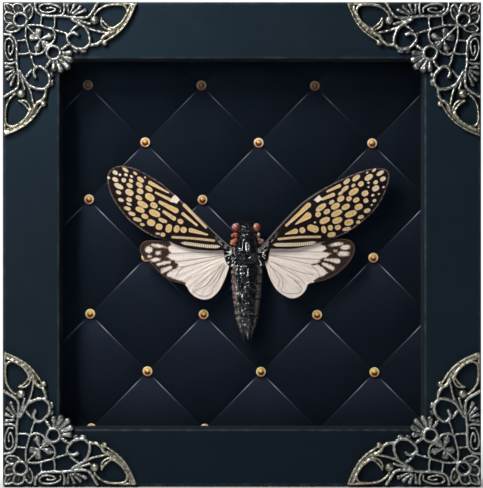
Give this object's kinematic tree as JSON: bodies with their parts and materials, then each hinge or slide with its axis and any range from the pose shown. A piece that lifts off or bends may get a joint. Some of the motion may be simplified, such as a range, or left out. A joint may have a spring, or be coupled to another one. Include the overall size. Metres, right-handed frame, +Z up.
{
  "type": "framed cicada specimen in a shadow box",
  "caption": "Square black shadow-box frame with pierced metal corners, holding a spread patterned cicada on a dark diamond-tufted panel with gilt buttons.",
  "frame": {"origin": "middle of the underside of the whole object, so that the frame stands on the plane Z = 0", "axes": "+X to the right as seen from the front, +Y from the front to the back, +Z up along the height"},
  "size_m": [0.15, 0.0322, 0.152],
  "materials": {
    "rail_paint": "blue-black satin paint",
    "glass": "clear, polished",
    "spacer_paint": "matte blue-black paint",
    "padded_cloth": "smooth dark cloth over padding",
    "gilt": "polished gilt",
    "casting": "antiqued, pewter-grey with brighter ridges",
    "fibreboard": "bare brown fibreboard",
    "zinced_steel": "zinc plated",
    "hanger_brass": "brass plated, satin",
    "chitin": "glossy black chitin, brown and orange at the sides, red-brown eyes",
    "patterned_wing": "dark brown net with yellow-cream cells",
    "pale_wing": "pinkish white with fine veins and a dark brown outer part"
  },
  "bodies": {
    "root": {"rail_top": "rail_paint", "rail_bottom": "rail_paint", "rail_left": "rail_paint", "rail_right": "rail_paint", "glass_pane": "glass", "spacer_top": "spacer_paint", "spacer_bottom": "spacer_paint", "spacer_left": "spacer_paint", "spacer_right": "spacer_paint", "tufted_panel": "padded_cloth", "button_1_1": "gilt", "button_1_2": "gilt", "button_1_3": "gilt", "button_2_1": "gilt", "button_2_2": "gilt", "button_2_3": "gilt", "button_3_1": "gilt", "button_3_2": "gilt", "button_3_3": "gilt", "button_4_1": "gilt", "button_4_2": "gilt", "button_4_3": "gilt", "button_5_1": "gilt", "button_5_2": "gilt", "button_5_3": "gilt", "button_6_1": "gilt", "button_6_2": "gilt", "button_6_3": "gilt", "button_7_1": "gilt", "button_7_2": "gilt", "backboard": "fibreboard", "retaining_tab_top": "zinced_steel", "retaining_tab_bottom": "zinced_steel", "retaining_tab_left": "zinced_steel", "retaining_tab_right": "zinced_steel", "hanger": "hanger_brass", "corner_top_left": "casting", "corner_top_right": "casting", "corner_bottom_left": "casting", "corner_bottom_right": "casting", "body": "chitin", "forewing_left": "patterned_wing", "forewing_right": "patterned_wing", "hindwing_left": "pale_wing", "hindwing_right": "pale_wing"}
  },
  "joints": []
}
